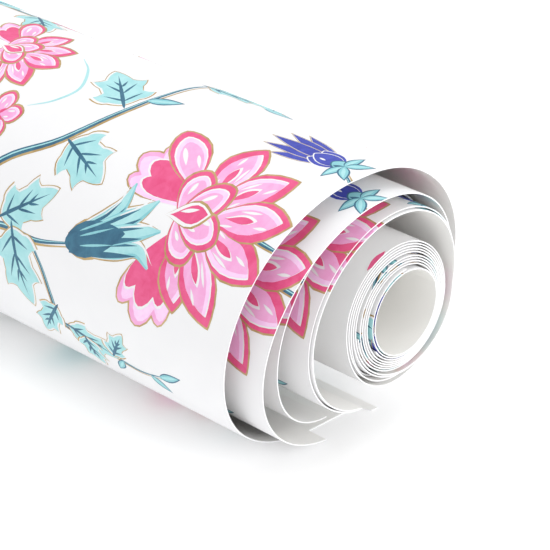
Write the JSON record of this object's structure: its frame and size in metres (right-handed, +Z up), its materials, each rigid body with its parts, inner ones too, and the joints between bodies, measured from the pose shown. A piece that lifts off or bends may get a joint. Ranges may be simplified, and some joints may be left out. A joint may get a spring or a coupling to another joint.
{
  "type": "wrapping paper roll",
  "caption": "Rolled bundle of printed floral gift wrap sheets with a loose, fanned outer turn round a tight hollow coil.",
  "frame": {"origin": "middle of the roll's length and width, on the surface it lies on", "axes": "+X along the roll towards its fanned near end, +Z up, +Y to the right as seen from the near end"},
  "size_m": [0.5146, 0.0719, 0.0685],
  "materials": {
    "printed_paper": "smooth uncoated white paper, printed on its outer face with roses, blue thistles and teal vines"
  },
  "bodies": {
    "sheet_1": {"sheet_1": "printed_paper"},
    "sheet_2": {"sheet_2": "printed_paper"},
    "sheet_3": {"sheet_3": "printed_paper"},
    "sheet_4": {"sheet_4": "printed_paper"},
    "sheet_5": {"sheet_5": "printed_paper"}
  },
  "joints": [
    {"name": "slide_2", "type": "slide", "parent": "sheet_1", "child": "sheet_2", "axis": [1, 0, 0], "range_m": [-0.025, 0.025]},
    {"name": "slide_3", "type": "slide", "parent": "sheet_2", "child": "sheet_3", "axis": [1, 0, 0], "range_m": [-0.025, 0.025]},
    {"name": "slide_4", "type": "slide", "parent": "sheet_3", "child": "sheet_4", "axis": [1, 0, 0], "range_m": [-0.025, 0.025]},
    {"name": "slide_5", "type": "slide", "parent": "sheet_4", "child": "sheet_5", "axis": [1, 0, 0], "range_m": [-0.025, 0.025]}
  ]
}
